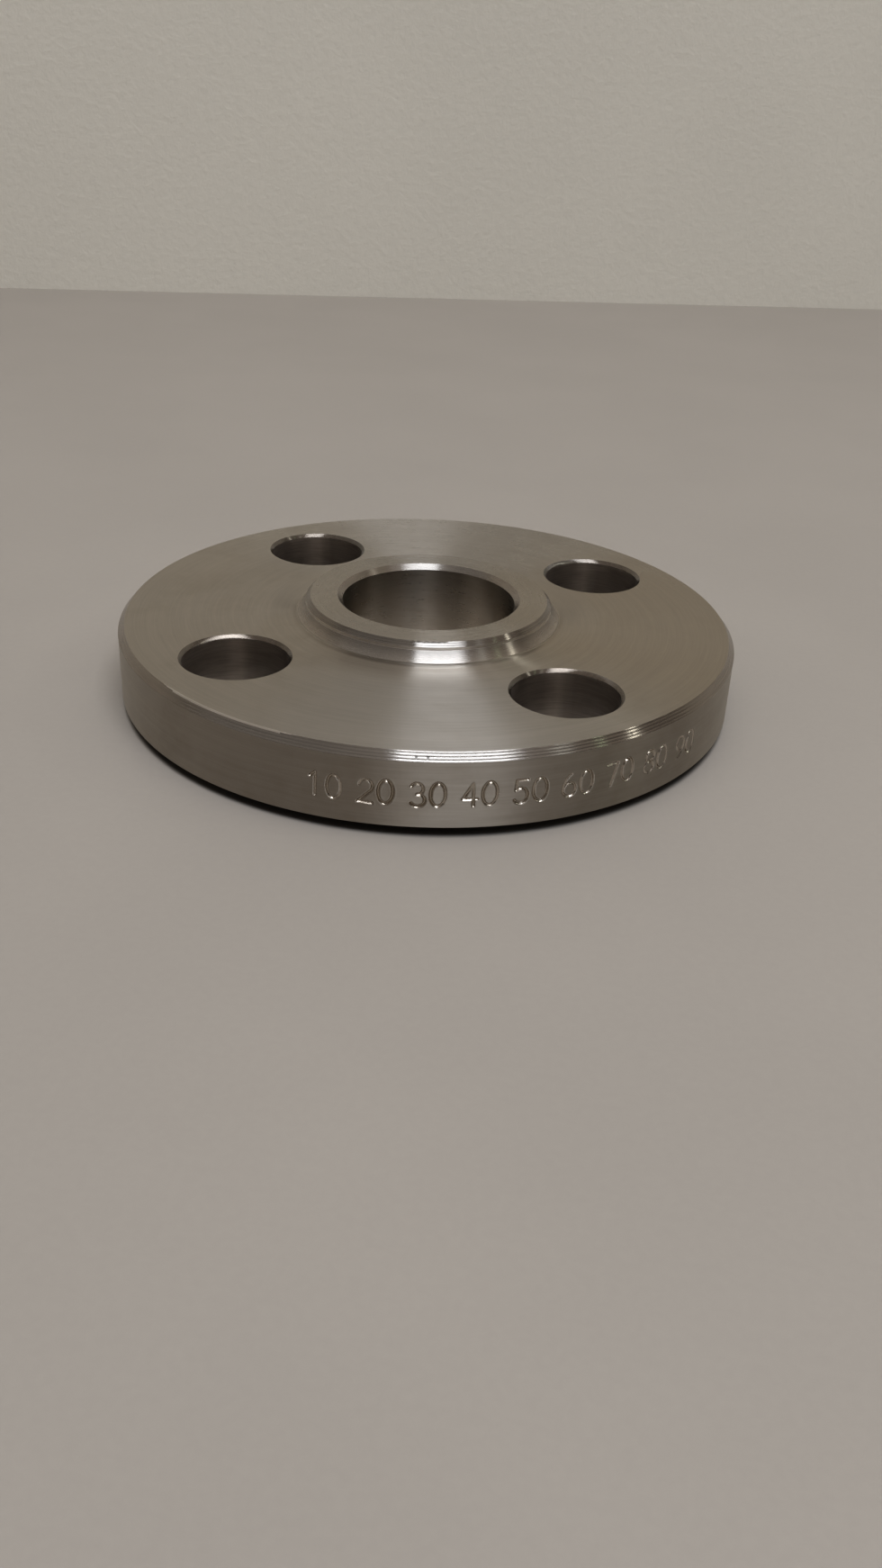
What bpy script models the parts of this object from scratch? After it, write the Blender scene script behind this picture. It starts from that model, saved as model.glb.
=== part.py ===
"""Slip on pipe flange with a raised gasket face, forged and turned in one piece of stainless steel.

Everything is in metres with +Z up. The flange lies on its gasket face, whose centre is the origin,
and +Z runs along the bore towards the hub, where the pipe goes in.
"""

import math

import bmesh
import bpy
from mathutils import Matrix

# Bore for the pipe, with its mouth in the hub's end
BORE_DIAMETER = 0.0277
BORE_MOUTH_CHAMFER = 0.00085
BORE_GASKET_CHAMFER = 0.0005

# Hub, above the disc
HUB_WALL = 0.0059
HUB_HEIGHT = 0.0031
HUB_CHAMFER = 0.0007
# The sloped foot round the hub, and the hollow in which it runs out onto the disc
HUB_FOOT_HEIGHT = 0.0019
HUB_FOOT_WIDTH = 0.0017
HUB_FOOT_HOLLOW_RADIUS = 0.0012

# Raised gasket face, under the disc
GASKET_FACE_WIDTH = 0.0076
GASKET_FACE_HEIGHT = 0.0016
GASKET_FACE_EDGE_BREAK = 0.0002

# Bolt holes: how far their centres lie from the hub's wall and from the rim
BOLT_TO_HUB = 0.0152
BOLT_TO_RIM = 0.01425
BOLT_HOLE_COUNT = 4
BOLT_HOLE_DIAMETER = 0.0159
BOLT_HOLE_CHAMFER = 0.0005

# Disc
DISC_THICKNESS = 0.0112
RIM_CHAMFER_WIDTH = 0.0010
RIM_CHAMFER_DROP = 0.0012
RIM_EDGE_BREAK = 0.0002

# How finely the round forms are cut into facets
RING_STEPS = 96
HOLE_STEPS = 48
HOLLOW_STEPS = 4
SHARP_ANGLE = math.radians(25)

# A cutter runs this far past the faces that it opens
CUTTER_REACH = 0.001
# Far below any edge here, so that only points on the turning axis are merged
MERGE_DISTANCE = 0.000001

STEEL_COLOUR = (0.56, 0.54, 0.51, 1.0)
STEEL_ROUGHNESS = 0.32

bore_radius = BORE_DIAMETER / 2
hub_radius = bore_radius + HUB_WALL
gasket_face_radius = bore_radius + GASKET_FACE_WIDTH
bolt_circle_radius = hub_radius + BOLT_TO_HUB
rim_radius = bolt_circle_radius + BOLT_TO_RIM
bolt_hole_radius = BOLT_HOLE_DIAMETER / 2

disc_low = GASKET_FACE_HEIGHT
disc_top = disc_low + DISC_THICKNESS
hub_top = disc_top + HUB_HEIGHT


def clear_scene():
    for obj in list(bpy.data.objects):
        bpy.data.objects.remove(obj, do_unlink=True)


def new_collection(name):
    collection = bpy.data.collections.new(name)
    bpy.context.scene.collection.children.link(collection)
    return collection


def steel_material():
    material = bpy.data.materials.new("turned_stainless_steel")
    material.use_nodes = True
    shader = material.node_tree.nodes["Principled BSDF"]
    shader.inputs["Base Color"].default_value = STEEL_COLOUR
    shader.inputs["Metallic"].default_value = 1.0
    shader.inputs["Roughness"].default_value = STEEL_ROUGHNESS
    return material


def hub_foot():
    """The slope from the hub's wall down to the disc's back face, with its hollow, as (radius, height) points."""
    height = min(HUB_FOOT_HEIGHT, HUB_HEIGHT - HUB_CHAMFER)
    slope = math.atan2(height, HUB_FOOT_WIDTH)
    # The hollow touches the slope and the disc, each this far from the corner where they would meet
    reach = HUB_FOOT_HOLLOW_RADIUS * math.tan(slope / 2)
    centre_r = hub_radius + HUB_FOOT_WIDTH + reach
    centre_z = disc_top + HUB_FOOT_HOLLOW_RADIUS
    points = [(hub_radius, disc_top + height)]
    for step in range(HOLLOW_STEPS + 1):
        angle = slope * (1 - step / HOLLOW_STEPS)
        points.append(
            (centre_r - HUB_FOOT_HOLLOW_RADIUS * math.sin(angle), centre_z - HUB_FOOT_HOLLOW_RADIUS * math.cos(angle))
        )
    return points


def flange_profile():
    """The section of the ring: down its outer side, in under the gasket face and up the bore."""
    hub_edge = [(hub_radius - HUB_CHAMFER, hub_top), (hub_radius, hub_top - HUB_CHAMFER)]
    rim = [
        (rim_radius - RIM_CHAMFER_WIDTH, disc_top),
        (rim_radius, disc_top - RIM_CHAMFER_DROP),
        (rim_radius, disc_low + RIM_EDGE_BREAK),
        (rim_radius - RIM_EDGE_BREAK, disc_low),
    ]
    gasket_face = [
        (gasket_face_radius, disc_low),
        (gasket_face_radius, GASKET_FACE_EDGE_BREAK),
        (gasket_face_radius - GASKET_FACE_EDGE_BREAK, 0.0),
        (bore_radius + BORE_GASKET_CHAMFER, 0.0),
    ]
    bore_wall = [
        (bore_radius, BORE_GASKET_CHAMFER),
        (bore_radius, hub_top - BORE_MOUTH_CHAMFER),
        (bore_radius + BORE_MOUTH_CHAMFER, hub_top),
    ]
    return hub_edge + hub_foot() + rim + gasket_face + bore_wall


def bolt_hole_profile():
    """Half the section of a bolt hole and of its chamfers, which widen on past both faces."""
    mouth = bolt_hole_radius + BOLT_HOLE_CHAMFER + CUTTER_REACH
    return [
        (0.0, disc_top + CUTTER_REACH),
        (mouth, disc_top + CUTTER_REACH),
        (bolt_hole_radius, disc_top - BOLT_HOLE_CHAMFER),
        (bolt_hole_radius, disc_low + BOLT_HOLE_CHAMFER),
        (mouth, disc_low - CUTTER_REACH),
        (0.0, disc_low - CUTTER_REACH),
    ]


def turned(name, profile, closed, steps, collection):
    """An object that turns a profile of (radius, height) points about its own Z axis."""
    shape = bmesh.new()
    corners = [shape.verts.new((radius, 0.0, height)) for radius, height in profile]
    for start, end in zip(corners, corners[1:]):
        shape.edges.new((start, end))
    if closed:
        shape.edges.new((corners[-1], corners[0]))
    mesh = bpy.data.meshes.new(name)
    shape.to_mesh(mesh)
    shape.free()
    obj = bpy.data.objects.new(name, mesh)
    collection.objects.link(obj)
    screw = obj.modifiers.new("turn", "SCREW")
    screw.axis = "Z"
    screw.angle = math.tau
    screw.steps = steps
    screw.render_steps = steps
    screw.use_merge_vertices = True
    screw.merge_threshold = MERGE_DISTANCE
    return obj


def bolt_hole_cutters(collection):
    """One cutter for each bolt hole, the first half a pitch round from +X."""
    pitch = math.tau / BOLT_HOLE_COUNT
    first = turned("bolt_hole_cutter_1", bolt_hole_profile(), False, HOLE_STEPS, collection)
    cutters = [first]
    for number in range(2, BOLT_HOLE_COUNT + 1):
        copy = first.copy()
        copy.name = f"bolt_hole_cutter_{number}"
        collection.objects.link(copy)
        cutters.append(copy)
    for index, cutter in enumerate(cutters):
        round_axis = Matrix.Rotation((index + 0.5) * pitch, 4, "Z")
        cutter.matrix_world = round_axis @ Matrix.Translation((bolt_circle_radius, 0.0, 0.0))
        cutter.hide_render = True
        cutter.display_type = "WIRE"


def finished(obj):
    """Turns the modifiers into plain mesh, so that its sharp edges can be found by their angle."""
    graph = bpy.context.evaluated_depsgraph_get()
    mesh = bpy.data.meshes.new_from_object(obj.evaluated_get(graph))
    mesh.name = obj.name
    obj.modifiers.clear()
    obj.data = mesh
    mesh.shade_smooth()
    mesh.set_sharp_from_angle(angle=SHARP_ANGLE)


def build_flange():
    parts = new_collection("slip_on_flange")
    cutters = new_collection("cutters")
    cutters.hide_render = True
    flange = turned("flange", flange_profile(), True, RING_STEPS, parts)
    bolt_hole_cutters(cutters)
    cut = flange.modifiers.new("bolt_holes", "BOOLEAN")
    cut.operation = "DIFFERENCE"
    cut.solver = "EXACT"
    cut.operand_type = "COLLECTION"
    cut.collection = cutters
    bpy.context.view_layer.update()
    finished(flange)
    flange.data.materials.clear()
    flange.data.materials.append(steel_material())


clear_scene()
build_flange()
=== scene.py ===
"""A slip on flange of turned stainless steel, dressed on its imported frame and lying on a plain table.

Everything is in metres, in the frame's own axes. The flange lies on its gasket face, whose centre is the
origin, and +Z runs along the bore towards the hub.
"""

import math
import random

import bmesh
import bpy
from bpy.props import FloatProperty, FloatVectorProperty, IntProperty, PointerProperty
from mathutils import Matrix, Vector


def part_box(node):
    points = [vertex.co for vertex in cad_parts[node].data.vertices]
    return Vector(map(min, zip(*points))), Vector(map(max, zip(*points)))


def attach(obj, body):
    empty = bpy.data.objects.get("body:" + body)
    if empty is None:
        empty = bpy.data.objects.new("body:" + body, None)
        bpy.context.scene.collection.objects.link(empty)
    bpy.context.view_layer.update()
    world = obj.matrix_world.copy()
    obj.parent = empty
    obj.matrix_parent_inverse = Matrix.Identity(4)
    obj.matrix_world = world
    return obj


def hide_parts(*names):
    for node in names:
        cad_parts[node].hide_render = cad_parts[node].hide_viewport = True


bl_info = {
    "name": "Slip on flange",
    "version": (1, 0, 0),
    "blender": (4, 5, 0),
    "location": "3D View > Sidebar > Flange",
    "description": "Turns, drills and stamps a slip on flange and sets it on a plain table",
    "category": "Object",
}

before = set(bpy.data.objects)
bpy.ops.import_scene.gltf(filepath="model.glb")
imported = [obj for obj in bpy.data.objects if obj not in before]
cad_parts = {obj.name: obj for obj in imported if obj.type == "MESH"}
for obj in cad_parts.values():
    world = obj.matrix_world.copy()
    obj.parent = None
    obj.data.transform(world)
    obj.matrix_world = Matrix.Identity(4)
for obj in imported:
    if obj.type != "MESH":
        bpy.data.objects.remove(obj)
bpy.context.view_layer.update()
flange_low, flange_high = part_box("flange")

# The finishes that the cuts leave, in the order of the piece's material slots, with one lighter finish that
# is a painted highlight
FACE, RIM, EDGE, CHAMFER, FOOT, BORE, DRILLED, GROOVED, PUNCHED, PAINTED_HIGHLIGHT, SUNK, MOUTH = range(12)

# How far round from +Y the camera looks, and the way to the right as it looks
HEADING = math.radians(8.422)
RIGHT = (0.989, 0.146, 0.0)

# Painted reflections: how light the upright bands painted down the bore and the bolt holes are, from 0
# where the wall faces left to 1 where it faces right
BORE_PAINTED_REFLECTIONS = (
    (0.0, 1.3), (0.22, 1.0), (0.33, 0.68), (0.44, 0.84), (0.53, 0.94), (0.60, 0.74), (0.78, 0.75), (1.0, 1.3)
)
HOLE_PAINTED_REFLECTIONS = ((0.0, 0.64), (0.38, 0.60), (0.46, 0.76), (0.53, 1.12), (0.60, 1.10), (0.68, 0.92), (1.0, 0.95))

# How much a deburring tool has eased an edge: hardly, finely, or worn round
HARDLY = 0.00003
FINELY = 0.00004
WORN = 0.00008

# The rim's wall is cut in rows where the figures go, from this height down
FIGURES_TOP = 0.00915
FIGURES_ROW = 0.00095
FIGURES_ROWS = 5


class FlangeSizes(bpy.types.PropertyGroup):
    """What the lathe and the drill cut."""

    rim_diameter: FloatProperty(
        name="Rim", description="Diameter of the disc", default=2 * flange_high.x, unit="LENGTH"
    )
    overall_height: FloatProperty(
        name="Height", description="From the gasket face to the hub's end", default=flange_high.z,
        unit="LENGTH",
    )
    hub_height: FloatProperty(
        name="Hub height", description="How far the hub stands above the disc", default=0.0031,
        unit="LENGTH",
    )
    hub_diameter: FloatProperty(
        name="Hub", description="Diameter of the hub's wall", default=0.0395, unit="LENGTH"
    )
    hub_chamfer: FloatProperty(
        name="Hub chamfer", description="Width of the chamfer round the hub's end", default=0.0007,
        unit="LENGTH",
    )
    foot_height: FloatProperty(
        name="Foot height", description="Height of the sloped foot between the hub and the disc",
        default=0.0019, unit="LENGTH",
    )
    foot_width: FloatProperty(
        name="Foot width", description="How far the hub's sloped foot reaches over the disc",
        default=0.0017, unit="LENGTH",
    )
    foot_hollow: FloatProperty(
        name="Foot hollow", description="Radius in which the foot runs out onto the disc",
        default=0.0012, unit="LENGTH",
    )
    bore_diameter: FloatProperty(
        name="Bore", description="Diameter of the bore that takes the pipe", default=0.0277, unit="LENGTH"
    )
    bore_mouth: FloatProperty(
        name="Bore mouth", description="Width of the chamfer in the hub's end", default=0.00085,
        unit="LENGTH",
    )
    bore_foot: FloatProperty(
        name="Bore foot", description="Width of the chamfer in the gasket face", default=0.0005,
        unit="LENGTH",
    )
    gasket_diameter: FloatProperty(
        name="Gasket face", description="Diameter of the raised gasket face", default=0.0429,
        unit="LENGTH",
    )
    gasket_height: FloatProperty(
        name="Gasket face height", description="How far the gasket face is raised", default=0.0016,
        unit="LENGTH",
    )
    groove_pitch: FloatProperty(
        name="Groove pitch", description="Spacing of the gasket face's turned grooves",
        default=0.0006, unit="LENGTH",
    )
    groove_depth: FloatProperty(
        name="Groove depth", description="Depth of the gasket face's turned grooves",
        default=0.00005, unit="LENGTH",
    )
    rim_chamfer: FloatProperty(
        name="Rim chamfer", description="Width of the rim's chamfer across the face",
        default=0.0010, unit="LENGTH",
    )
    rim_chamfer_drop: FloatProperty(
        name="Rim chamfer drop", description="How far the rim's chamfer comes down",
        default=0.0012, unit="LENGTH",
    )
    hole_count: IntProperty(name="Bolt holes", description="Number of bolt holes", default=4, min=2, max=12)
    hole_circle: FloatProperty(
        name="Bolt circle", description="Diameter of the circle of the bolt holes", default=0.0699,
        unit="LENGTH",
    )
    hole_diameter: FloatProperty(
        name="Bolt hole", description="Diameter of each bolt hole", default=0.0159, unit="LENGTH"
    )
    hole_chamfer: FloatProperty(
        name="Bolt hole chamfer", description="Width of the chamfer on each hole", default=0.0005,
        unit="LENGTH",
    )


class FigureSizes(bpy.types.PropertyGroup):
    """The plain figures that are punched into the rim, evenly spaced and in counting order."""

    count: IntProperty(
        name="Figures", description="How many numbers, counted in tens", default=9, min=0, max=9
    )
    height: FloatProperty(name="Height", description="Height of a figure", default=0.0035, unit="LENGTH")
    width: FloatProperty(name="Width", description="Width of a digit", default=0.0020, unit="LENGTH")
    gap: FloatProperty(
        name="Gap", description="Gap between a number's digits", default=0.0007, unit="LENGTH"
    )
    stroke: FloatProperty(
        name="Stroke", description="Width of a punched stroke", default=0.00054, unit="LENGTH"
    )
    depth: FloatProperty(
        name="Depth", description="Depth of the deepest stroke", default=0.00034, unit="LENGTH"
    )
    lip: FloatProperty(
        name="Lip", description="Metal pushed up beside a stroke", default=0.000015, unit="LENGTH"
    )
    middle: FloatProperty(
        name="Middle", description="Height of the row's middle", default=0.00678, unit="LENGTH"
    )
    first: FloatProperty(
        name="First", description="Bearing of the first figure", default=math.radians(-96.0),
        subtype="ANGLE",
    )
    spacing: FloatProperty(
        name="Spacing", description="Turn from one figure to the next", default=math.radians(8.2),
        subtype="ANGLE",
    )


class SteelLook(bpy.types.PropertyGroup):
    """The colours and the sheen of the turned steel."""

    colour: FloatVectorProperty(
        name="Steel", description="Colour of the turned steel", subtype="COLOR",
        default=(0.445, 0.40, 0.342),
    )
    stain: FloatVectorProperty(
        name="Handling stain", description="Colour where hands have dulled it", subtype="COLOR",
        default=(0.36, 0.31, 0.25),
    )
    cut: FloatVectorProperty(
        name="Cut edges", description="Colour of the cut edges", subtype="COLOR",
        default=(0.48, 0.416, 0.354),
    )
    # Painted highlight tone: a neutral colour put along the front and the back, where the ceiling panel's
    # highlights fall
    highlight_tone: FloatVectorProperty(
        name="Fresh cuts", description="Colour of the steel where it was last cut", subtype="COLOR",
        default=(0.435, 0.41, 0.38),
    )
    # Painted shade: a yellower, darker colour put on the right of the face, where it reflects the darker
    # room
    yellowed_and_shaded: FloatVectorProperty(
        name="Yellowed steel", description="Colour where the face has yellowed", subtype="COLOR",
        default=(0.38, 0.315, 0.235),
    )
    drilled: FloatVectorProperty(
        name="Drilled steel", description="Colour of the holes' walls", subtype="COLOR",
        default=(0.56, 0.50, 0.45),
    )
    roughness: FloatProperty(
        name="Roughness", description="Roughness of the turned faces", subtype="FACTOR",
        default=0.315, min=0, max=1,
    )


class TableSetting(bpy.types.PropertyGroup):
    """The colours of the table and the wall, and the light."""

    table: FloatVectorProperty(
        name="Table", description="Colour of the table", subtype="COLOR", default=(0.37, 0.34, 0.31)
    )
    wall: FloatVectorProperty(
        name="Wall", description="Colour of the wall", subtype="COLOR", default=(0.74, 0.71, 0.635)
    )
    room: FloatVectorProperty(
        name="Room", description="Light that the room gives from all sides", subtype="COLOR",
        default=(0.338, 0.30, 0.268),
    )
    wall_distance: FloatProperty(
        name="Wall distance", description="From the bore to the wall's foot", default=0.372, unit="LENGTH"
    )
    panel_power: FloatProperty(
        name="Ceiling panel", description="Power of the lamp overhead", default=15.0, unit="POWER"
    )


class Reading:
    """What a node gives. Arithmetic on readings of numbers adds Math nodes."""

    def __init__(self, bench, socket):
        self.bench = bench
        self.socket = socket

    def math(self, operation, first, second=0.0):
        return self.bench.node("ShaderNodeMath", {"operation": operation}, {0: first, 1: second})

    def __add__(self, other):
        return self.math("ADD", self, other)

    def __radd__(self, other):
        return self.math("ADD", other, self)

    def __sub__(self, other):
        return self.math("SUBTRACT", self, other)

    def __rsub__(self, other):
        return self.math("SUBTRACT", other, self)

    def __mul__(self, other):
        return self.math("MULTIPLY", self, other)

    def __rmul__(self, other):
        return self.math("MULTIPLY", other, self)

    def __truediv__(self, other):
        return self.math("DIVIDE", self, other)

    def __rtruediv__(self, other):
        return self.math("DIVIDE", other, self)

    def __pow__(self, other):
        return self.math("POWER", self, other)

    def __abs__(self):
        return self.math("ABSOLUTE", self)


class Bench:
    """Adds nodes to one material or world."""

    def __init__(self, tree):
        self.tree = tree
        tree.nodes.clear()

    def node(self, kind, settings=None, sockets=None, output=0):
        """A new node, its settings first and then its sockets, as a reading of one of its outputs."""
        made = self.tree.nodes.new(kind)
        for name, value in (settings or {}).items():
            if name == "stops":
                self.set_stops(made.color_ramp, value)
            else:
                setattr(made, name, value)
        for name, value in (sockets or {}).items():
            if isinstance(value, Reading):
                self.tree.links.new(value.socket, made.inputs[name])
            else:
                made.inputs[name].default_value = value
        return Reading(self, made.outputs[output]) if made.outputs else made

    def set_stops(self, ramp, stops):
        while len(ramp.elements) < len(stops):
            ramp.elements.new(1.0)
        for element, (position, colour) in zip(ramp.elements, stops):
            element.position = position
            element.color = colour

    def noise(self, place, scale, detail=2.0, roughness=0.5):
        return self.node(
            "ShaderNodeTexNoise",
            {"noise_dimensions": "3D"},
            {"Vector": place, "Scale": scale, "Detail": detail, "Roughness": roughness},
        )

    def between(self, value, low, high, to_low=0.0, to_high=1.0):
        """The value carried smoothly from one range to another, and held at its ends."""
        return self.node(
            "ShaderNodeMapRange",
            {"interpolation_type": "SMOOTHSTEP"},
            {"Value": value, "From Min": low, "From Max": high, "To Min": to_low, "To Max": to_high},
        )

    def vector_math(self, operation, first, second, output=0):
        return self.node("ShaderNodeVectorMath", {"operation": operation}, {0: first, 1: second}, output)

    def along(self, place, way):
        """How far a place lies along a way."""
        return self.vector_math("DOT_PRODUCT", place, way, 1)

    def parts(self, place):
        """A place's three numbers."""
        first = self.node("ShaderNodeSeparateXYZ", None, {0: place})
        return [Reading(self, output) for output in first.socket.node.outputs]

    def blend(self, amount, first, second):
        """One colour going over to another as the amount goes from 0 to 1."""
        sockets = {0: amount, 6: as_colour(first), 7: as_colour(second)}
        return self.node("ShaderNodeMix", {"data_type": "RGBA"}, sockets, 2)

    def tinted(self, colour, amount):
        """A colour made lighter or darker all over by a number."""
        grey = self.node("ShaderNodeCombineXYZ", None, {0: amount, 1: amount, 2: amount})
        return self.vector_math("MULTIPLY", colour, grey)

    def relief(self, height, depth, below=None):
        """The slope of the surface where a height stands up from it by a depth in metres."""
        sockets = {"Strength": 1.0, "Distance": depth, "Height": height}
        if below is not None:
            sockets["Normal"] = below
        return self.node("ShaderNodeBump", None, sockets)

    def surface(self, sockets):
        """Ends the material in one shader with these sockets."""
        shader = self.node("ShaderNodeBsdfPrincipled", None, sockets)
        self.node("ShaderNodeOutputMaterial", None, {"Surface": shader})


def as_colour(value):
    """Colours with the fourth number that a colour socket wants."""
    return value if isinstance(value, Reading) else (*value[:3], 1.0)


def millimetres(bench):
    """The place on the piece, in millimetres."""
    place = bench.node("ShaderNodeTexCoord", None, None, "Object")
    return bench.node("ShaderNodeVectorMath", {"operation": "SCALE"}, {0: place, "Scale": 1000.0})


def tool_path(bench, place):
    """How the lathe came to a point: how far it lies along +Y, its radius and its height.

    The fourth reading is a place in which a turned line is one long arc.
    """
    x, y, z = bench.parts(place)
    radius = (x * x + y * y) ** 0.5
    travel = radius - z * 0.6
    arcs = {0: x / radius * 3.0, 1: y / radius * 3.0, 2: travel * 5.0}
    return y, radius, z, bench.node("ShaderNodeCombineXYZ", None, arcs)


def new_material(name):
    material = bpy.data.materials.new(name)
    material.use_nodes = True
    return material, Bench(material.node_tree)


def edge_pits(sizes):
    """A few pits that the tool tore in the rim's chamfer, by their bearings in degrees."""
    radius = sizes.rim_diameter / 2 - sizes.rim_chamfer * 0.44
    height = sizes.overall_height - sizes.hub_height - sizes.rim_chamfer_drop * 0.56
    turns = [math.radians(bearing) for bearing in (-81.6, -79.8, -44.7)]
    return [Vector((radius * math.cos(turn), radius * math.sin(turn), height)) for turn in turns]


def painted_reflection_bands(bench, stops):
    """Painted reflections: upright lighter and darker bands down a hole's wall, by how far the wall turns
    from the left to the right.
    """
    facing = bench.node("ShaderNodeTexCoord", None, None, "Normal")
    turned = bench.along(facing, RIGHT) * 0.5 + 0.5
    greys = [(place, (light, light, light, 1.0)) for place, light in stops]
    ramp = bench.node("ShaderNodeValToRGB", {"stops": greys}, {0: turned})
    return bench.node("ShaderNodeSeparateColor", None, {0: ramp})


def face_tone_and_painted_light(bench, steel, place, across, radius, highlight_tone, yellowed_and_shaded):
    """The face's steel and how light it is, by place.

    Its colour goes yellower and darker on the right, a painted shade for the darker room that the face
    reflects there, and a little towards the same colour at the far left. Between, along the front and the
    back where the ceiling panel's streak lies, it goes over to the painted highlight tone, and painted light
    makes it lighter in front and at the back left.
    """
    aside = bench.along(place, RIGHT) / radius
    behind = across / radius
    # Painted highlight tone along the front and the back, where the ceiling panel's streak lies
    streak_share = bench.between(behind, -0.2, 0.4, 1.0, 0.0) * bench.between(radius, 22.0, 30.0, 0.35, 1.0)
    streak_share = streak_share + bench.between(behind, -0.2, 0.4, 0.0, 0.65)
    streak_share = bench.between(abs(aside), 0.2, 0.75, 0.8, 0.0) * streak_share
    # Painted shade, yellower and darker, on the right and a little at the far left
    yellow_shade_share = bench.between(aside, 0.55, 0.95) * bench.between(radius, 22.0, 30.0, 0.7, 0.88)
    yellow_shade_share = yellow_shade_share + bench.between(aside, -0.98, -0.7, 0.25, 0.0)
    steel = bench.blend(yellow_shade_share, bench.blend(streak_share, steel, highlight_tone), yellowed_and_shaded)
    # Painted light: lighter in front and at the back left
    front_painted_light = bench.between(radius, 20.0, 24.0, 0.0, 0.035) + bench.between(radius, 40.0, 45.0, 0.0, 0.04)
    front_painted_light = front_painted_light * streak_share * bench.between(behind, -0.3, 0.1, 1.0, 0.0)
    back_left_painted_light = bench.between(aside, -0.5, -0.2, 0.08, 0.0) * bench.between(behind, -0.1, 0.3)
    return steel, 1.0 + front_painted_light + back_left_painted_light * bench.between(radius, 33.0, 42.0)


def turned_steel(
    name, colour, stain, shade, roughness, contrast=0.05, depth=0.000002, anisotropy=1.0, hub_sizes=None,
    bands=None, pits=(), highlight_tone=None, yellowed_and_shaded=None, painted_fade=None,
):
    """Steel under a lathe tool: fine lines round the axis, which draw each highlight out across them.

    The lines' contrast is in colour and their depth is in metres. With the hub's sizes given, the tool
    also dished the face slightly round the hub's foot, left it finer on the far side, and cut the hub's
    own end finer and duller; painted shade and painted light lie round the hub's foot. Painted reflections
    run in upright bands down a wall. Pits are places in metres where a grain of metal was torn out. A
    neutral highlight tone is painted along the front and the back, where the ceiling panel's highlights
    fall, and on the face it goes by place with a yellower, darker painted shade. A painted gradient of
    light goes from one height in millimetres to another, with the light at each.
    """
    material, bench = new_material(name)
    place = millimetres(bench)
    across, radius, height, arcs = tool_path(bench, place)
    behind = across / radius
    fine_lines = bench.noise(arcs, 1.6, 3.0, 0.6)
    broad_lines = bench.noise(arcs, 0.35, 2.0, 0.5)
    cloud = bench.noise(place, 0.07, 4.0, 0.6)
    smear = bench.noise(place, 0.22, 3.0, 0.7)
    line_light = bench.between(fine_lines, 0.3, 0.7, 1.0 - contrast, 1.0 + contrast)
    band_light = bench.between(broad_lines, 0.3, 0.7, 1.0 - contrast * 0.6, 1.0 + contrast * 0.6)
    stained = bench.between(cloud * 0.7 + smear * 0.3, 0.45, 0.68, 0.0, 0.55)
    steel = bench.blend(stained, colour, stain)
    light = line_light * band_light * shade
    # The face's painted highlight tone, painted shade and painted light, by place
    if yellowed_and_shaded is not None:
        steel, face_painted_light = face_tone_and_painted_light(bench, steel, place, across, radius, highlight_tone, yellowed_and_shaded)
        light = light * face_painted_light
    # Painted highlight tone along the front and the back, where the ceiling panel's highlights fall
    elif highlight_tone is not None:
        steel = bench.blend(bench.between(abs(behind), 0.72, 0.95), steel, highlight_tone)
    # Painted reflections in upright bands
    if bands:
        light = light * painted_reflection_bands(bench, bands)
    # Painted light and shade, by height
    if painted_fade:
        light = light * bench.between(height, *painted_fade)
    for pit in pits:
        reach = bench.vector_math("DISTANCE", place, pit * 1000, 1)
        light = light * bench.between(reach, 0.12, 0.28, 0.35, 1.0)
    sheen = roughness + (fine_lines - 0.5) * 0.10 + (smear - 0.5) * 0.08
    dish = None
    if hub_sizes:
        disc_top = 1000 * (hub_sizes.overall_height - hub_sizes.hub_height)
        foot_end = 1000 * (hub_sizes.hub_diameter / 2 + hub_sizes.foot_width + hub_sizes.foot_hollow * 0.3)
        on_disc = bench.between(height, disc_top + 0.2, disc_top + 1.2, 1.0, 0.0)
        beside_hub = bench.node("ShaderNodeClamp", None, {0: (foot_end + 6.9 - radius) / 5.0}) * on_disc
        dish_floor = bench.node("ShaderNodeClamp", None, {0: (foot_end + 1.9 - radius) / 2.5}) * on_disc
        # Painted shade in the hollow at the hub's foot, in front
        hollow_shade = bench.between(height, disc_top, disc_top + 0.06) * on_disc
        hollow_shade = hollow_shade * bench.between(behind, -0.96, -0.80, 1.0, 0.0)
        light = light * (on_disc * 0.07 + 0.93) * (1.0 - hollow_shade * 0.3)
        # Painted light and shade on the face beside the hub's foot: darker just in front of it, lighter
        # round the rest
        light = light * (1.0 + beside_hub * bench.between(behind, -0.97, -0.82, -0.16, 0.08))
        sheen = sheen + beside_hub * 0.02 - (1.0 - on_disc) * 0.035
        sheen = sheen - bench.between(across, 2.0, 34.0, 0.0, 0.03)
        # The tool's ridges lean outwards a little, besides the dish
        dish = bench.relief(beside_hub * beside_hub + dish_floor - radius * 0.03, 0.0014)
    bench.surface(
        {
            "Base Color": bench.tinted(steel, light),
            "Metallic": 1.0,
            "Roughness": sheen,
            "Anisotropic": anisotropy,
            "Anisotropic Rotation": 0.25,
            "Normal": bench.relief(fine_lines + broad_lines * 0.5, depth, dish),
        }
    )
    return material


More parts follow.
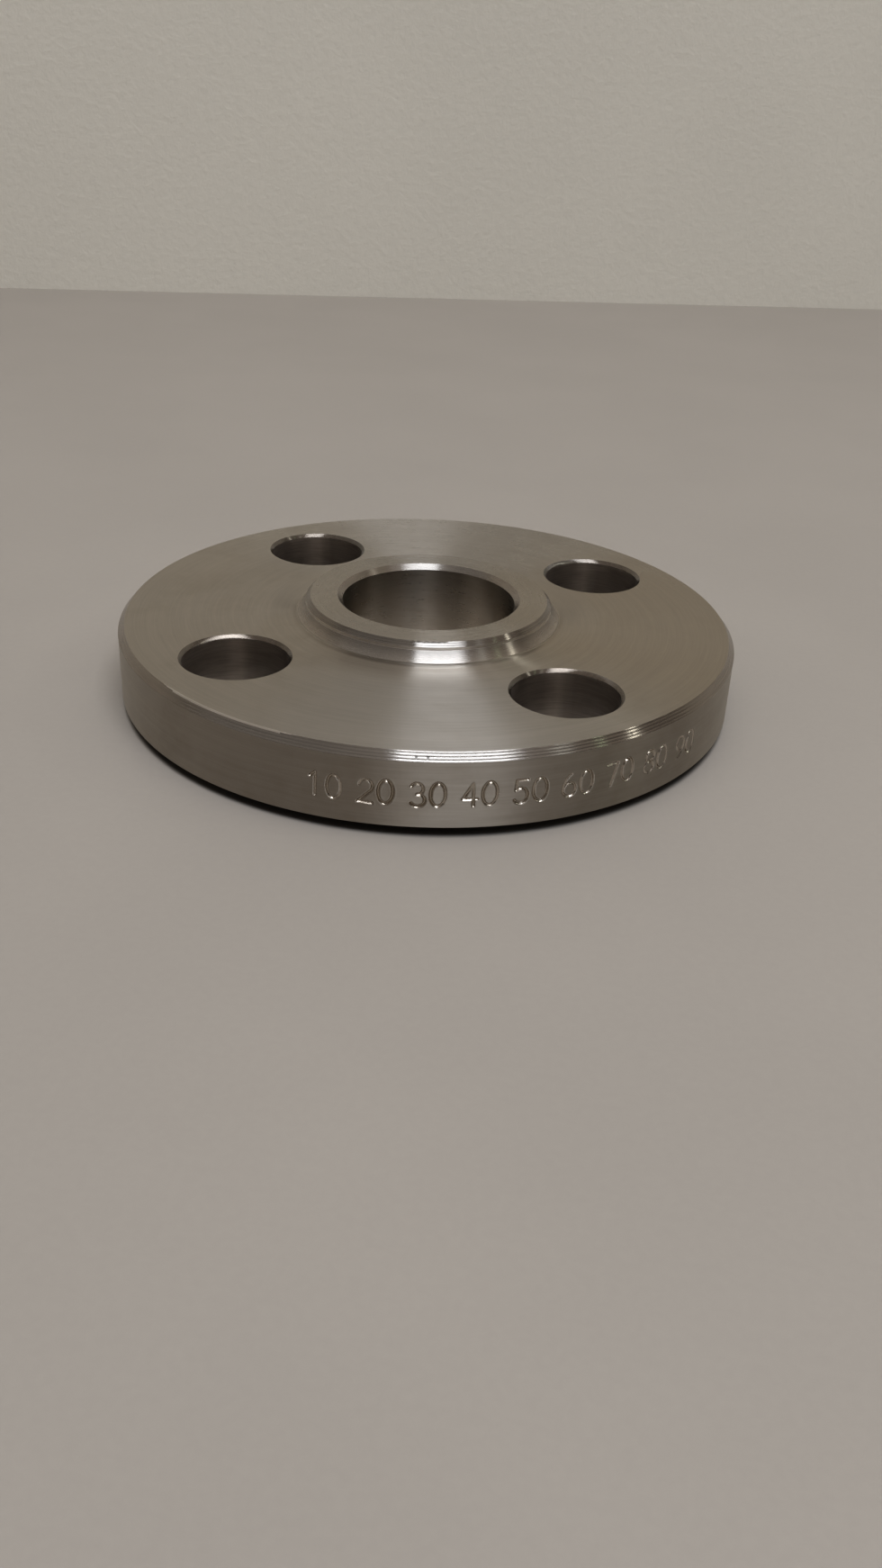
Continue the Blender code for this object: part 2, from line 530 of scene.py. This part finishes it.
def drilled_steel(name, colour):
    """Steel under a drill: duller, with rings round each hole's own axis, painted reflections in upright
    bands, and painted shade darker down the hole.
    """
    material, bench = new_material(name)
    place = millimetres(bench)
    height = bench.parts(place)[2]
    rings = bench.noise(bench.vector_math("MULTIPLY", place, (0.25, 0.25, 5.0)), 1.0, 3.0, 0.6)
    cloud = bench.noise(place, 0.3, 3.0, 0.6)
    # Painted reflections in upright bands, and painted shade darker down the hole
    light = bench.between(rings, 0.3, 0.7, 0.86, 1.12) * painted_reflection_bands(bench, HOLE_PAINTED_REFLECTIONS)
    light = light * bench.between(height, 1.0, 12.0, 0.55, 1.05)
    bench.surface(
        {
            "Base Color": bench.tinted(colour, light),
            "Metallic": 1.0,
            "Roughness": 0.34 + (cloud - 0.5) * 0.16 + (rings - 0.5) * 0.1,
            "Normal": bench.relief(rings, 0.00002),
        }
    )
    return material


class Section:
    """The flange's section, drawn from the hub's end outwards, with the finish after each corner."""

    def __init__(self):
        self.corners = []

    def to(self, radius, height, finish, ease=0.0):
        """A corner, which a deburring tool has eased by a small radius."""
        self.corners.append((Vector((radius, height)), finish, ease))

    def arc(self, centre_r, centre_z, radius, start, end, steps, finish):
        """A smooth arc, with its angles in degrees."""
        for step in range(steps + 1):
            angle = math.radians(start + (end - start) * step / steps)
            self.to(centre_r + radius * math.cos(angle), centre_z + radius * math.sin(angle), finish)

    def scored(self, end, count, width, depth, finish):
        """Tool lines cut across the straight from the last corner to the end, which isn't drawn itself."""
        start = self.corners[-1][0]
        along = (Vector(end) - start).normalized()
        inward = Vector((along.y, -along.x))
        length = (Vector(end) - start).length
        for number in range(count):
            middle = start + along * length * (number + 0.75) / (count + 0.5)
            self.to(*(middle - along * width / 2), finish)
            self.to(*(middle + inward * depth), finish)
            self.to(*(middle + along * width / 2), finish)

    def eased(self, hold=0.00006, steps=3):
        """The corners as plain points, where an eased one is a small arc with a point held either side."""
        points = []
        for index, (here, finish, ease) in enumerate(self.corners):
            if ease == 0.0:
                points.append((here, finish))
                continue
            before, finish_before, _ = self.corners[index - 1]
            after = self.corners[(index + 1) % len(self.corners)][0]
            into = (here - before).normalized()
            out = (after - here).normalized()
            back = ease * math.tan(into.angle(out) / 2)
            if back + hold < (here - before).length / 2:
                points.append((here - into * (back + hold), finish_before))
            for step in range(steps + 1):
                share = step / steps
                first = here - into * back * (1 - share)
                second = here + out * back * share
                points.append((first.lerp(second, share), finish_before if share < 0.5 else finish))
            if back + hold < (after - here).length / 2:
                points.append((here + out * (back + hold), finish))
        return points


def flange_section(sizes, wall_radius):
    """The whole section of the ring, closed from the bore's mouth back to itself."""
    rim = sizes.rim_diameter / 2
    hub = sizes.hub_diameter / 2
    bore = sizes.bore_diameter / 2
    gasket = sizes.gasket_diameter / 2
    top = sizes.overall_height
    disc_top = top - sizes.hub_height
    disc_low = sizes.gasket_height
    foot_top = disc_top + sizes.foot_height
    section = Section()

    # The hub's end, its chamfer and its short wall with one tool step; the short wall takes the lighter
    # finish that is a painted highlight
    step = 0.00005
    section.to(bore + sizes.bore_mouth, top, FACE, FINELY)
    section.to(hub - sizes.hub_chamfer - 0.0003, top, FACE)
    section.to(hub - sizes.hub_chamfer, top, CHAMFER, FINELY)
    section.scored((hub, top - sizes.hub_chamfer), 2, 0.00006, 0.00002, CHAMFER)
    section.to(hub, top - sizes.hub_chamfer, PAINTED_HIGHLIGHT, WORN)
    section.to(hub, foot_top + step * 2, PAINTED_HIGHLIGHT)
    section.to(hub - 0.00002, foot_top + step, PAINTED_HIGHLIGHT)
    section.to(hub, foot_top, FOOT, 0.00002)

    # The hub's sloped foot, which runs out in a small hollow
    slope = math.atan2(sizes.foot_height, sizes.foot_width)
    hollow_r = hub + sizes.foot_width + sizes.foot_hollow * math.tan(slope / 2)
    turn = math.degrees(slope)
    section.arc(hollow_r, disc_top + sizes.foot_hollow, sizes.foot_hollow, 270 - turn, 270, 6, FACE)

    # The disc's face, which falls a little towards the rim
    fall = 0.00004
    section.to(hollow_r + 0.0003, disc_top, FACE)
    section.to(rim - 0.0034, disc_top, FACE)
    section.to(rim - 0.0030, disc_top - fall * 0.1, FACE)
    section.to(rim - sizes.rim_chamfer - 0.0003, disc_top - fall * 0.875, FACE)

    # The rim's chamfer with its tool lines, its wall in rows, and its foot
    section.to(rim - sizes.rim_chamfer, disc_top - fall, EDGE, WORN)
    section.scored((rim, disc_top - sizes.rim_chamfer_drop), 3, 0.00013, 0.000018, EDGE)
    section.to(rim, disc_top - sizes.rim_chamfer_drop, RIM, WORN)
    section.to(wall_radius, disc_top - sizes.rim_chamfer_drop - 0.0003, RIM)
    for row in range(FIGURES_ROWS + 1):
        section.to(wall_radius, FIGURES_TOP - FIGURES_ROW * row, RIM)
    section.to(wall_radius, disc_low + 0.0006, RIM)
    section.to(wall_radius, disc_low + 0.0001, RIM, HARDLY)
    section.to(rim - 0.0001, disc_low, FACE, HARDLY)

    # Under the disc, and down the side of the raised gasket face from its root
    root = 0.0003
    section.to(gasket + root * 2, disc_low, FACE)
    section.arc(gasket + root, disc_low - root, root, 90, 180, 5, EDGE)
    section.to(gasket, 0.0002, EDGE, FINELY)
    section.to(gasket - 0.0002, 0.0, GROOVED, HARDLY)

    # The gasket face's grooves, cut by a tool with a blunt nose
    inner = bore + sizes.bore_foot + 0.0002
    outer = gasket - 0.0004
    grooves = max(1, round((outer - inner) / sizes.groove_pitch))
    pitch = (outer - inner) / grooves
    for number in range(grooves):
        section.to(outer - pitch * number, 0.0, GROOVED)
        section.to(outer - pitch * (number + 0.28), sizes.groove_depth, GROOVED)
        section.to(outer - pitch * (number + 0.72), sizes.groove_depth, GROOVED)
    section.to(inner, 0.0, GROOVED)

    # The bore and its chamfered ends
    section.to(bore + sizes.bore_foot, 0.0, EDGE, FINELY)
    section.to(bore, sizes.bore_foot, BORE, FINELY)
    section.to(bore, top - sizes.bore_mouth, MOUTH, FINELY)
    return section.eased()


def turned_shape(points, steps, middle=Vector((0, 0, 0)), ring=True):
    """The points carried round an upright axis through the middle, each with the finish that follows it.

    A ring's last point joins its first. Any other shape has a flat end at its first and last points.
    """
    shape = bmesh.new()
    spokes = []
    for step in range(steps):
        turn = math.tau * step / steps
        across = Vector((math.cos(turn), math.sin(turn), 0.0))
        corners = [middle + across * place.x + Vector((0, 0, place.y)) for place, _ in points]
        spokes.append([shape.verts.new(corner) for corner in corners])
    strips = points if ring else points[:-1]
    for step in range(steps):
        here = spokes[step]
        following = spokes[(step + 1) % steps]
        for index, (_, finish) in enumerate(strips):
            ahead = (index + 1) % len(points)
            face = shape.faces.new((here[index], here[ahead], following[ahead], following[index]))
            face.material_index = finish
    if not ring:
        shape.faces.new([spoke[0] for spoke in spokes])
        shape.faces.new([spoke[-1] for spoke in reversed(spokes)])
    return shape


def drill(sizes, bearing, steps=96):
    """The solid that a drill and its countersinks sweep out for the bolt hole at one bearing."""
    low = sizes.gasket_height
    high = sizes.overall_height - sizes.hub_height
    hole = sizes.hole_diameter / 2
    reach = 0.001
    wide = hole + sizes.hole_chamfer + reach
    # Each countersink's inner edge is eased in short steps
    corners = [
        (wide, high + reach, SUNK),
        (hole + 0.00006, high - sizes.hole_chamfer + 0.00006, SUNK),
        (hole + 0.00001, high - sizes.hole_chamfer - 0.00003, DRILLED),
        (hole, high - sizes.hole_chamfer - 0.0001, DRILLED),
        (hole, low + sizes.hole_chamfer + 0.0001, DRILLED),
        (hole + 0.00001, low + sizes.hole_chamfer + 0.00003, SUNK),
        (hole + 0.00006, low + sizes.hole_chamfer - 0.00006, SUNK),
        (wide, low - reach, SUNK),
    ]
    outline = [(Vector((radius, height)), finish) for radius, height, finish in corners]
    middle = Vector((math.cos(bearing), math.sin(bearing), 0.0)) * sizes.hole_circle / 2
    return turned_shape(outline, steps, middle, ring=False)


def as_object(name, shape, materials, collection):
    mesh = bpy.data.meshes.new(name)
    shape.to_mesh(mesh)
    shape.free()
    for material in materials:
        mesh.materials.append(material)
    obj = bpy.data.objects.new(name, mesh)
    collection.objects.link(obj)
    return obj


def drill_holes(flange, sizes, materials, collection):
    """Cuts the bolt holes, which straddle +X and +Y as the frame's do."""
    drills = []
    for number in range(sizes.hole_count):
        bearing = math.tau * (number + 0.5) / sizes.hole_count
        drills.append(as_object(f"drill_{number + 1}", drill(sizes, bearing), materials, collection))
        cut = flange.modifiers.new(f"bolt_hole_{number + 1}", "BOOLEAN")
        cut.operation = "DIFFERENCE"
        cut.solver = "EXACT"
        cut.object = drills[-1]
    bpy.context.view_layer.update()
    drilled = bpy.data.meshes.new_from_object(flange.evaluated_get(bpy.context.evaluated_depsgraph_get()))
    flange.modifiers.clear()
    flange.data = drilled
    for tool in drills:
        bpy.data.objects.remove(tool)


def sweep(cx, cy, rx, ry, start, end, steps=12):
    """Points along part of an oval in a figure's own box, from 0 to 1 each way, its angles in degrees."""
    angles = [math.radians(start + (end - start) * step / steps) for step in range(steps + 1)]
    return [(cx + rx * math.cos(angle), cy + ry * math.sin(angle)) for angle in angles]


def figure_strokes(digit):
    """The strokes of a plain figure, each a run of points in a box from 0 to 1 each way."""
    shapes = {
        "0": [sweep(0.5, 0.5, 0.5, 0.5, 0, 360, 24)],
        "1": [[(0.14, 0.80), (0.52, 1.0), (0.52, 0.0)]],
        "2": [sweep(0.5, 0.71, 0.46, 0.29, 172, -38) + [(0.02, 0.0), (1.0, 0.0)]],
        "3": [sweep(0.46, 0.755, 0.42, 0.245, 150, -90), sweep(0.46, 0.26, 0.5, 0.26, 90, -150)],
        "4": [[(0.72, 0.0), (0.72, 1.0), (0.0, 0.3), (1.0, 0.3)]],
        "5": [[(0.92, 1.0), (0.16, 1.0), (0.10, 0.57)] + sweep(0.46, 0.33, 0.5, 0.33, 128, -145)],
        "6": [sweep(0.5, 0.3, 0.48, 0.3, 0, 360, 20), sweep(0.95, 0.3, 0.93, 0.7, 180, 108)],
        "7": [[(0.02, 1.0), (0.98, 1.0), (0.36, 0.0)]],
        "8": [sweep(0.5, 0.76, 0.4, 0.24, 0, 360, 18), sweep(0.5, 0.26, 0.48, 0.26, 0, 360, 20)],
        "9": [sweep(0.5, 0.7, 0.48, 0.3, 0, 360, 20), sweep(0.05, 0.7, 0.93, 0.7, 0, -72)],
    }
    return shapes[digit]


def punched_figures(figures):
    """Every punched digit as its strokes, in metres round the rim and up it, with how deep it went in."""
    hand = random.Random(7)
    punched = []
    for number in range(1, figures.count + 1):
        digits = str(10 * number)
        bearing = figures.first + figures.spacing * (number - 1)
        run = len(digits) * figures.width + (len(digits) - 1) * figures.gap
        for place, digit in enumerate(digits):
            left = -run / 2 + place * (figures.width + figures.gap)
            tilt = math.radians(hand.uniform(-3.5, 3.5))
            rise = hand.uniform(-0.00012, 0.00012)
            turn = Matrix.Rotation(tilt, 2)
            strokes = []
            for stroke in figure_strokes(digit):
                run_points = []
                for across, up in stroke:
                    corner = turn @ Vector(((across - 0.5) * figures.width, (up - 0.5) * figures.height))
                    run_points.append(corner + Vector((left + figures.width / 2, rise)))
                strokes.append(run_points)
            punched.append(
                {
                    "bearing": bearing,
                    "middle": Vector((left + figures.width / 2, rise)),
                    "strokes": strokes,
                    "depth": figures.depth * hand.uniform(0.45, 1.0),
                    "lean": Vector((hand.uniform(-0.5, 0.5), hand.uniform(-0.6, 0.6))),
                }
            )
    return punched


def distance_to_stroke(point, stroke):
    """How far a point is from a run of straight pieces."""
    nearest = 1.0
    for start, end in zip(stroke, stroke[1:]):
        along = end - start
        share = max(0.0, min(1.0, (point - start).dot(along) / along.length_squared))
        nearest = min(nearest, (point - start - along * share).length)
    return nearest


def sunk(point, digit, figures):
    """How far a punched digit pushes the rim in at a point, below zero for the lip beside a stroke."""
    beside = 0.0009
    offset = point - digit["middle"]
    if abs(offset.x) > figures.width / 2 + beside or abs(offset.y) > figures.height / 2 + beside:
        return 0.0
    distance = min(distance_to_stroke(point, stroke) for stroke in digit["strokes"])
    # The punch leaned, so one side of the digit went in deeper
    lean_x = offset.x / figures.width * digit["lean"].x * 2
    lean_y = offset.y / figures.height * digit["lean"].y * 2
    force = max(0.12, min(1.25, 1.0 + lean_x + lean_y)) * digit["depth"]
    half = figures.stroke / 2 * (0.75 + 0.25 * force / figures.depth)
    if distance < half:
        return force * math.cos(math.pi / 2 * distance / half) ** 1.5
    lip_width = 0.00012
    rise = math.exp(-(((distance - half) / lip_width - 0.6) ** 2))
    return -figures.lip * rise * min(1.0, force / figures.depth)


def punch_figures(flange, figures, wall_radius):
    """Divides the rim finely where the figures go and pushes their strokes in."""
    shape = bmesh.new()
    shape.from_mesh(flange.data)
    first = figures.first - math.radians(4.5)
    last = figures.first + figures.spacing * (figures.count - 1) + math.radians(5.0)
    low = FIGURES_TOP - FIGURES_ROW * FIGURES_ROWS

    def carries_figures(face):
        middle = face.calc_center_median()
        bearing = math.atan2(middle.y, middle.x)
        on_rim = face.material_index == RIM and math.hypot(middle.x, middle.y) > wall_radius - 0.0005
        return on_rim and low < middle.z < FIGURES_TOP and first < bearing < last

    patch = [face for face in shape.faces if carries_figures(face)]
    edges = {edge for face in patch for edge in face.edges}
    done = bmesh.ops.subdivide_edges(shape, edges=list(edges), cuts=9, use_grid_fill=True)
    touched = {item for item in done["geom"] if isinstance(item, bmesh.types.BMVert)}
    touched |= {corner for face in patch if face.is_valid for corner in face.verts}
    punched = punched_figures(figures)
    for corner in touched:
        bearing = math.atan2(corner.co.y, corner.co.x)
        depth = 0.0
        for digit in punched:
            round_rim = (bearing - digit["bearing"]) * wall_radius
            if abs(round_rim - digit["middle"].x) < figures.width:
                depth += sunk(Vector((round_rim, corner.co.z - figures.middle)), digit, figures)
        radius = wall_radius - depth
        corner.co.x = radius * math.cos(bearing)
        corner.co.y = radius * math.sin(bearing)
    sunk_in = 0.00004
    for face in shape.faces:
        if carries_figures(face):
            middle = face.calc_center_median()
            if math.hypot(middle.x, middle.y) < wall_radius - sunk_in:
                face.material_index = PUNCHED
    shape.to_mesh(flange.data)
    shape.free()


def nick_edges(flange, sizes):
    """Small chatter marks along the front of the hub's edge, and a few dents in the rim's."""
    hub_edge = sizes.hub_diameter / 2 - sizes.hub_chamfer
    rim_edge = sizes.rim_diameter / 2 - sizes.rim_chamfer
    top = sizes.overall_height
    disc_top = top - sizes.hub_height
    chatter = random.Random(3)
    hub_marks = {step: chatter.uniform(0.2, 1.0) for step in range(-88, -72, 3)}
    dents = (-98, -61, -57, -55, -36, -20, 12, 47, 130, 171)
    rim_marks = {step: chatter.uniform(0.3, 1.0) for step in dents}
    for corner in flange.data.vertices:
        radius = math.hypot(corner.co.x, corner.co.y)
        bearing = round(math.degrees(math.atan2(corner.co.y, corner.co.x)))
        on_hub_edge = abs(radius - hub_edge) < 0.00005 and corner.co.z > top - 0.0001
        on_rim_edge = abs(radius - rim_edge) < 0.00009 and abs(corner.co.z - disc_top) < 0.00015
        if on_hub_edge and bearing in hub_marks:
            corner.co.z -= 0.0003 * hub_marks[bearing]
        if on_rim_edge and bearing in rim_marks:
            corner.co.z -= 0.00007 * rim_marks[bearing]


def paint_edge_highlight(flange, sizes):
    """A painted highlight: a stretch of the rim's edge in the lighter finish, narrower towards its ends."""
    rim_edge = sizes.rim_diameter / 2 - sizes.rim_chamfer
    disc_top = sizes.overall_height - sizes.hub_height
    stretch_middle = -116
    for face in flange.data.polygons:
        bearing = math.degrees(math.atan2(face.center.y, face.center.x))
        width = 0.00013 * min(1.0, 5.0 - abs(bearing - stretch_middle) / 3)
        off_edge = abs(math.hypot(face.center.x, face.center.y) - rim_edge)
        if off_edge < width and face.center.z > disc_top - 0.0002:
            # Painted highlight: these faces take the lighter finish
            face.material_index = PAINTED_HIGHLIGHT


class FLANGE_OT_build(bpy.types.Operator):
    """Turn, drill and stamp the flange and give it its finishes"""

    bl_idname = "flange.build"
    bl_label = "Build flange"

    def execute(self, context):
        scene = context.scene
        sizes = scene.flange_sizes
        figures = scene.flange_figures
        look = scene.flange_steel
        # The rim's wall stands back by the height of the figures' lips, which reach the full diameter
        wall_radius = sizes.rim_diameter / 2 - figures.lip
        face = (look.colour, look.stain)
        cut = (look.cut, look.cut)
        # Colours of the lighter finish, which is a painted highlight
        painted_highlight_colours = (look.highlight_tone, look.highlight_tone)
        materials = [
            # The face carries painted highlight tone, painted shade and painted light by place
            turned_steel(
                "turned_face", *face, shade=1.0, roughness=look.roughness, hub_sizes=sizes,
                highlight_tone=look.highlight_tone, yellowed_and_shaded=look.yellowed_and_shaded,
            ),
            turned_steel("turned_rim", *face, shade=0.79, roughness=0.415),
            # Each finish given the neutral colour has it painted along the front and the back, where the
            # highlights fall
            turned_steel(
                "cut_edge", *cut, shade=0.64, roughness=0.20, contrast=0.07,
                pits=edge_pits(sizes), highlight_tone=look.highlight_tone,
            ),
            turned_steel("hub_chamfer", *cut, shade=0.50, roughness=0.17, contrast=0.07, highlight_tone=look.highlight_tone),
            # Painted shade: the sloped foot is darker up under the hub's edge
            turned_steel(
                "hub_foot", *cut, shade=0.82, roughness=0.275, contrast=0.04,
                highlight_tone=look.highlight_tone, painted_fade=(13.0, 14.8, 1.12, 0.68),
            ),
            # Painted reflections in upright bands, and painted light lighter towards the gasket face
            turned_steel(
                "bored_steel", *face, shade=0.95, roughness=0.29, contrast=0.03, depth=0.000001,
                anisotropy=0.95, bands=BORE_PAINTED_REFLECTIONS, painted_fade=(-4.0, 17.0, 1.75, 0.5),
            ),
            drilled_steel("drilled_steel", look.drilled),
            turned_steel(
                "grooved_face", *face, shade=0.9, roughness=look.roughness, contrast=0.06, anisotropy=0.8
            ),
            turned_steel("punched_steel", *face, shade=0.95, roughness=0.20, anisotropy=0.0),
            # Painted highlight: a lighter finish for the hub's short wall and a stretch of the rim's edge
            turned_steel("painted_highlight_cut", *painted_highlight_colours, shade=1.75, roughness=0.30),
            turned_steel("sunk_mouth", *cut, shade=0.42, roughness=0.26, contrast=0.07, highlight_tone=look.highlight_tone),
            turned_steel(
                "bore_mouth", *cut, shade=0.66, roughness=0.26, contrast=0.07, anisotropy=0.8,
                highlight_tone=look.highlight_tone,
            ),
        ]
        section = flange_section(sizes, wall_radius)
        body = as_object("flange_body", turned_shape(section, 360), materials, scene.collection)
        drill_holes(body, sizes, materials, scene.collection)
        if not body.data.polygons:
            raise RuntimeError("the bolt holes could not be cut")
        body.data.shade_smooth()
        body.data.set_sharp_from_angle(angle=math.radians(26))
        if figures.count:
            punch_figures(body, figures, wall_radius)
        nick_edges(body, sizes)
        paint_edge_highlight(body, sizes)
        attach(body, "root")
        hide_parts("flange")
        return {"FINISHED"}


def plain_surface(name, colour, grain, depth, painted_shadow_radius=0.0):
    """A matt painted or laminated surface with a faint grain, and a painted contact shadow, a dark ring
    where a disc lies on it.
    """
    material, bench = new_material(name)
    place = bench.node("ShaderNodeTexCoord", None, None, "Object")
    speck = bench.noise(place, grain, 4.0, 0.6)
    cloud = bench.noise(place, grain * 0.02, 3.0, 0.5)
    light = bench.between(speck, 0.25, 0.75, 0.985, 1.015) * bench.between(cloud, 0.3, 0.7, 0.98, 1.02)
    # Painted contact shadow: a dark ring just inside the rim of the disc that lies here
    if painted_shadow_radius:
        reach = bench.node("ShaderNodeVectorMath", {"operation": "LENGTH"}, {0: place}, 1)
        inner = bench.between(reach, painted_shadow_radius - 0.0045, painted_shadow_radius - 0.0035)
        outer = bench.between(reach, painted_shadow_radius - 0.0011, painted_shadow_radius + 0.0001, 1.0, 0.0)
        light = light * (1.0 - inner * outer * 0.86)
    bench.surface(
        {
            "Base Color": bench.tinted(colour, light),
            "Roughness": 0.6 + (speck - 0.5) * 0.1,
            "Specular IOR Level": 0.3,
            "Normal": bench.relief(speck, depth),
        }
    )
    return material


def plane(name, corners, material, collection):
    shape = bmesh.new()
    shape.faces.new([shape.verts.new(corner) for corner in corners])
    return as_object(name, shape, [material], collection)


def lamp(name, place, target, size, power, colour, collection):
    """A soft lamp with a rectangular face."""
    data = bpy.data.lights.new(name, "AREA")
    data.shape = "RECTANGLE"
    data.size, data.size_y = size
    data.energy = power
    data.color = colour
    obj = bpy.data.objects.new(name, data)
    collection.objects.link(obj)
    obj.location = place
    obj.rotation_euler = (Vector(target) - Vector(place)).to_track_quat("-Z", "Y").to_euler()
    return obj


def set_table_and_wall(setting, heading, collection):
    """The table that the flange lies on, and the wall behind it, which stands a little askew."""
    # The table carries a painted contact shadow round the flange's rim
    table_material = plain_surface("table_top", setting.table, 900.0, 0.00002, flange_high.x)
    wall_material = plain_surface("painted_wall", setting.wall, 420.0, 0.00025)
    half = 3.0
    corners = [(-half, -half, 0), (half, -half, 0), (half, half, 0), (-half, half, 0)]
    table = plane("table", corners, table_material, collection)
    askew = math.radians(7.3)
    foot = heading @ Vector((0, setting.wall_distance, 0))
    along = (heading @ Matrix.Rotation(askew, 4, "Z") @ Vector((1, 0, 0))) * half
    up = Vector((0, 0, 1.6))
    corners = [foot - along, foot + along, foot + along + up, foot - along + up]
    wall = plane("wall", corners, wall_material, collection)


def hang_lamps(setting, heading, overhead, collection):
    """The ceiling panel, a soft fill and the small far lights to the right."""
    down = Vector((0, 0, -1))
    panel = lamp(
        "ceiling_panel", overhead, overhead + down, (0.95, 0.55), setting.panel_power,
        (0.94, 0.99, 1.07), collection,
    )
    panel.rotation_euler = (0, 0, HEADING)
    # Soft light that falls on the table and the wall, and is too even to show in the steel
    fill = lamp(
        "fill", heading @ Vector((0, 0.1, 1.8)), heading @ Vector((0, -0.1, 0)), (1.6, 1.6), 11.0,
        (1.0, 0.965, 0.90), collection,
    )
    fill.visible_glossy = False
    # Each far light by its bearing from the way that the camera looks, and its height, both in degrees
    reach = 1.6
    for name, bearing, rise, size, power, colour in (
        ("side_window", 89, 38, (0.036, 0.12), 0.85, (0.96, 1.0, 0.92)),
        ("green_glow", 103, 42, (0.05, 0.14), 0.16, (0.72, 1.0, 0.70)),
        ("grey_window", 119, 46, (0.20, 0.40), 0.42, (0.92, 1.0, 0.98)),
    ):
        turn = math.radians(bearing)
        way = Vector((math.sin(turn), math.cos(turn), math.tan(math.radians(rise))))
        lamp(name, heading @ (way * reach), (0, 0, 0.01), size, power, colour, collection)


def lit_room(setting, heading, to_panel):
    """The light that the room gives: less low down in front and to the right, more round the panel."""
    world = bpy.data.worlds.new("room")
    world.use_nodes = True
    bench = Bench(world.node_tree)
    way = bench.node("ShaderNodeTexCoord", None, None, "Generated")
    front = bench.along(way, heading @ Vector((0, -1, 0)))
    aside = bench.along(way, heading @ Vector((1, 0, 0)))
    rise = bench.along(way, (0, 0, 1))
    near_panel = bench.along(way, to_panel)
    low_in_front = bench.between(front, -0.2, 0.6) * bench.between(rise, 0.15, 0.75, 1.0, 0.0)
    low_aside = bench.between(aside, 0.45, 0.9) * bench.between(rise, 0.45, 0.75, 1.0, 0.0)
    shade = (1.0 - low_in_front * 0.65) * (1.0 - low_aside * 0.6)
    shade = shade + bench.between(near_panel, 0.78, 0.97) * 0.45
    light = {"Color": bench.tinted(setting.room, shade), "Strength": 1.0}
    glow = bench.node("ShaderNodeBackground", None, light)
    bench.node("ShaderNodeOutputWorld", None, {"Surface": glow})
    return world


def set_camera(heading, collection):
    """The camera at the photo's angle, tipped a little, with its height and its distance from the bore."""
    data = bpy.data.cameras.new("camera")
    data.sensor_width = 36.0
    data.lens = 31.2
    data.clip_start = 0.01
    data.clip_end = 20.0
    camera = bpy.data.objects.new("camera", data)
    collection.objects.link(camera)
    place = Matrix.Translation(heading @ Vector((0.003375, -0.206135, 0.095596)))
    look_down = Matrix.Rotation(math.radians(90 - 29.034), 4, "X")
    tip = Matrix.Rotation(math.radians(2.673), 4, "Z")
    camera.matrix_world = place @ heading @ look_down @ tip
    return camera


class FLANGE_OT_stage(bpy.types.Operator):
    """Set the table, the wall, the lamps and the camera"""

    bl_idname = "flange.stage"
    bl_label = "Set stage"

    def execute(self, context):
        scene = context.scene
        setting = scene.flange_setting
        heading = Matrix.Rotation(HEADING, 4, "Z")
        set_table_and_wall(setting, heading, scene.collection)
        overhead = heading @ Vector((0.285, -0.85, 1.5))
        hang_lamps(setting, heading, overhead, scene.collection)
        scene.world = lit_room(setting, heading, overhead.normalized())
        scene.camera = set_camera(heading, scene.collection)
        scene.view_settings.view_transform = "Standard"
        return {"FINISHED"}


class FLANGE_PT_panel(bpy.types.Panel):
    """Lists the pieces of the flange's scene"""

    bl_idname = "FLANGE_PT_panel"
    bl_label = "Slip on flange"
    bl_space_type = "VIEW_3D"
    bl_region_type = "UI"
    bl_category = "Flange"

    def draw(self, context):
        layout = self.layout
        scene = context.scene
        for title, settings in (
            ("Flange", scene.flange_sizes),
            ("Figures", scene.flange_figures),
            ("Steel", scene.flange_steel),
            ("Table and light", scene.flange_setting),
        ):
            box = layout.box()
            box.label(text=title)
            for name in settings.__annotations__:
                box.prop(settings, name)
        layout.operator(FLANGE_OT_build.bl_idname)
        layout.operator(FLANGE_OT_stage.bl_idname)


CLASSES = (
    FlangeSizes,
    FigureSizes,
    SteelLook,
    TableSetting,
    FLANGE_OT_build,
    FLANGE_OT_stage,
    FLANGE_PT_panel,
)


def register():
    for cls in CLASSES:
        bpy.utils.register_class(cls)
    bpy.types.Scene.flange_sizes = PointerProperty(type=FlangeSizes)
    bpy.types.Scene.flange_figures = PointerProperty(type=FigureSizes)
    bpy.types.Scene.flange_steel = PointerProperty(type=SteelLook)
    bpy.types.Scene.flange_setting = PointerProperty(type=TableSetting)


def unregister():
    del bpy.types.Scene.flange_setting
    del bpy.types.Scene.flange_steel
    del bpy.types.Scene.flange_figures
    del bpy.types.Scene.flange_sizes
    for cls in reversed(CLASSES):
        bpy.utils.unregister_class(cls)


def main():
    register()
    bpy.ops.flange.build()
    bpy.ops.flange.stage()


if __name__ == "__main__":
    main()
